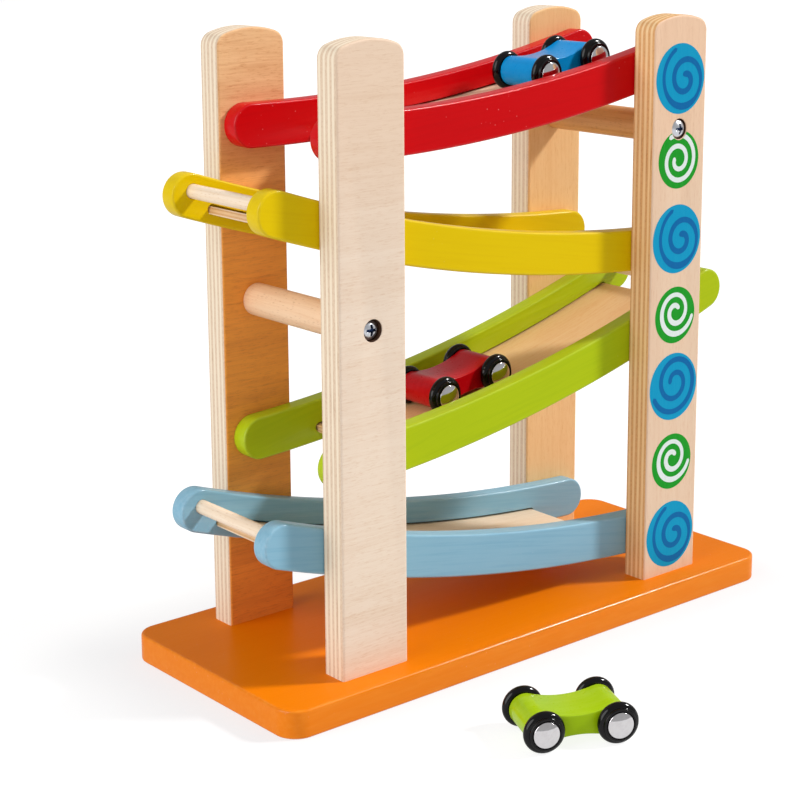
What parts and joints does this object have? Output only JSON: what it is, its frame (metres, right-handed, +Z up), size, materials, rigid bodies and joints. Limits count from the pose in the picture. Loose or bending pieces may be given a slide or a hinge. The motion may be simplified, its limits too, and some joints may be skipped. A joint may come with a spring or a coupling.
{
  "type": "click clack track toy",
  "caption": "Wooden ramp racer with curved zigzag rails between posts on a base board, and little cars that roll down and flip from ramp to ramp.",
  "frame": {"origin": "middle of the base board's underside, where the toy stands on the table", "axes": "+Z up, +X to the right along the track seen from the front, +Y to the rear"},
  "size_m": [0.28, 0.2007, 0.2695],
  "materials": {
    "orange_lacquer": "satin orange lacquer over wood",
    "birch_ply": "clear matt lacquer over birch plywood, plies on the edges",
    "beech": "bare sanded beech",
    "thin_ply": "bare thin plywood",
    "red_lacquer": "satin red lacquer over wood",
    "yellow_lacquer": "satin yellow lacquer over wood",
    "green_lacquer": "satin lime lacquer over wood",
    "blue_lacquer": "satin pale blue lacquer over wood",
    "blue_car_lacquer": "satin blue lacquer over wood",
    "red_car_lacquer": "satin red lacquer over wood",
    "green_car_lacquer": "satin green lacquer over wood",
    "black_wheel": "semi-matt black",
    "axle_steel": "bright drawn steel",
    "cap_chrome": "polished",
    "screw_steel": "bright zinc"
  },
  "bodies": {
    "track": {"base_board": "orange_lacquer", "post_front_left": "birch_ply", "post_front_right": "birch_ply", "post_rear_left": "birch_ply", "post_rear_right": "birch_ply", "left_crossbar": "beech", "right_crossbar": "beech", "crossbar_screws": "screw_steel", "base_screws": "screw_steel", "red_front_rail": "red_lacquer", "red_rear_rail": "red_lacquer", "red_floor": "thin_ply", "red_pins": "beech", "yellow_front_rail": "yellow_lacquer", "yellow_rear_rail": "yellow_lacquer", "yellow_floor": "thin_ply", "yellow_stop_dowel": "beech", "yellow_pins": "beech", "green_front_rail": "green_lacquer", "green_rear_rail": "green_lacquer", "green_floor": "thin_ply", "green_stop_dowel": "beech", "green_pins": "beech", "blue_front_rail": "blue_lacquer", "blue_rear_rail": "blue_lacquer", "blue_floor": "thin_ply", "blue_stop_dowel": "beech", "blue_pins": "beech"},
    "blue_car": {"blue_car_body": "blue_car_lacquer", "blue_car_left_axle": "axle_steel", "blue_car_right_axle": "axle_steel", "blue_car_caps": "cap_chrome"},
    "blue_car_wheel_left_front": {"blue_car_wheel_left_front": "black_wheel"},
    "blue_car_wheel_left_rear": {"blue_car_wheel_left_rear": "black_wheel"},
    "blue_car_wheel_right_front": {"blue_car_wheel_right_front": "black_wheel"},
    "blue_car_wheel_right_rear": {"blue_car_wheel_right_rear": "black_wheel"},
    "red_car": {"red_car_body": "red_car_lacquer", "red_car_left_axle": "axle_steel", "red_car_right_axle": "axle_steel", "red_car_caps": "cap_chrome"},
    "red_car_wheel_left_front": {"red_car_wheel_left_front": "black_wheel"},
    "red_car_wheel_left_rear": {"red_car_wheel_left_rear": "black_wheel"},
    "red_car_wheel_right_front": {"red_car_wheel_right_front": "black_wheel"},
    "red_car_wheel_right_rear": {"red_car_wheel_right_rear": "black_wheel"},
    "green_car": {"green_car_body": "green_car_lacquer", "green_car_left_axle": "axle_steel", "green_car_right_axle": "axle_steel", "green_car_caps": "cap_chrome"},
    "green_car_wheel_left_front": {"green_car_wheel_left_front": "black_wheel"},
    "green_car_wheel_left_rear": {"green_car_wheel_left_rear": "black_wheel"},
    "green_car_wheel_right_front": {"green_car_wheel_right_front": "black_wheel"},
    "green_car_wheel_right_rear": {"green_car_wheel_right_rear": "black_wheel"}
  },
  "joints": [
    {"name": "blue_car_roll", "type": "hinge", "parent": "track", "child": "blue_car", "pos_m": [-0.07548, 0, 0.98001], "axis": [0, 1, 0], "range_deg": [-1.3, 7.4]},
    {"name": "blue_car_wheel_left_front_spin", "type": "hinge", "parent": "blue_car", "child": "blue_car_wheel_left_front", "pos_m": [0.03755, 0, 0.24459], "axis": [0, 1, 0], "continuous": true},
    {"name": "blue_car_wheel_left_rear_spin", "type": "hinge", "parent": "blue_car", "child": "blue_car_wheel_left_rear", "pos_m": [0.03755, 0, 0.24459], "axis": [0, 1, 0], "continuous": true},
    {"name": "blue_car_wheel_right_front_spin", "type": "hinge", "parent": "blue_car", "child": "blue_car_wheel_right_front", "pos_m": [0.06749, 0, 0.24982], "axis": [0, 1, 0], "continuous": true},
    {"name": "blue_car_wheel_right_rear_spin", "type": "hinge", "parent": "blue_car", "child": "blue_car_wheel_right_rear", "pos_m": [0.06749, 0, 0.24982], "axis": [0, 1, 0], "continuous": true},
    {"name": "red_car_roll", "type": "hinge", "parent": "track", "child": "red_car", "pos_m": [-0.13157, 0, 0.84557], "axis": [0, 1, 0], "range_deg": [-8.1, 3.2]},
    {"name": "red_car_wheel_left_front_spin", "type": "hinge", "parent": "red_car", "child": "red_car_wheel_left_front", "pos_m": [-0.02161, 0, 0.10969], "axis": [0, 1, 0], "continuous": true},
    {"name": "red_car_wheel_left_rear_spin", "type": "hinge", "parent": "red_car", "child": "red_car_wheel_left_rear", "pos_m": [-0.02161, 0, 0.10969], "axis": [0, 1, 0], "continuous": true},
    {"name": "red_car_wheel_right_front_spin", "type": "hinge", "parent": "red_car", "child": "red_car_wheel_right_front", "pos_m": [0.00835, 0, 0.1148], "axis": [0, 1, 0], "continuous": true},
    {"name": "red_car_wheel_right_rear_spin", "type": "hinge", "parent": "red_car", "child": "red_car_wheel_right_rear", "pos_m": [0.00835, 0, 0.1148], "axis": [0, 1, 0], "continuous": true},
    {"name": "green_car_roll", "type": "slide", "parent": "track", "child": "green_car", "axis": [0.9135, -0.4067, 0], "range_m": [-0.06, 0.12]},
    {"name": "green_car_wheel_left_front_spin", "type": "hinge", "parent": "green_car", "child": "green_car_wheel_left_front", "pos_m": [-0.06529, -0.11432, 0.0085], "axis": [0.4067, 0.9135, 0], "continuous": true},
    {"name": "green_car_wheel_left_rear_spin", "type": "hinge", "parent": "green_car", "child": "green_car_wheel_left_rear", "pos_m": [-0.06529, -0.11432, 0.0085], "axis": [0.4067, 0.9135, 0], "continuous": true},
    {"name": "green_car_wheel_right_front_spin", "type": "hinge", "parent": "green_car", "child": "green_car_wheel_right_front", "pos_m": [-0.03751, -0.12668, 0.0085], "axis": [0.4067, 0.9135, 0], "continuous": true},
    {"name": "green_car_wheel_right_rear_spin", "type": "hinge", "parent": "green_car", "child": "green_car_wheel_right_rear", "pos_m": [-0.03751, -0.12668, 0.0085], "axis": [0.4067, 0.9135, 0], "continuous": true}
  ],
  "couplings": [
    {"joint": "blue_car_wheel_left_front_spin", "follows": "blue_car_roll", "ratio": -88.553},
    {"joint": "blue_car_wheel_left_rear_spin", "follows": "blue_car_roll", "ratio": -88.553},
    {"joint": "blue_car_wheel_right_front_spin", "follows": "blue_car_roll", "ratio": -88.553},
    {"joint": "blue_car_wheel_right_rear_spin", "follows": "blue_car_roll", "ratio": -88.553},
    {"joint": "red_car_wheel_left_front_spin", "follows": "red_car_roll", "ratio": -88.553},
    {"joint": "red_car_wheel_left_rear_spin", "follows": "red_car_roll", "ratio": -88.553},
    {"joint": "red_car_wheel_right_front_spin", "follows": "red_car_roll", "ratio": -88.553},
    {"joint": "red_car_wheel_right_rear_spin", "follows": "red_car_roll", "ratio": -88.553},
    {"joint": "green_car_wheel_left_front_spin", "follows": "green_car_roll", "rad_per_m": 117.65},
    {"joint": "green_car_wheel_left_rear_spin", "follows": "green_car_roll", "rad_per_m": 117.65},
    {"joint": "green_car_wheel_right_front_spin", "follows": "green_car_roll", "rad_per_m": 117.65},
    {"joint": "green_car_wheel_right_rear_spin", "follows": "green_car_roll", "rad_per_m": 117.65}
  ]
}
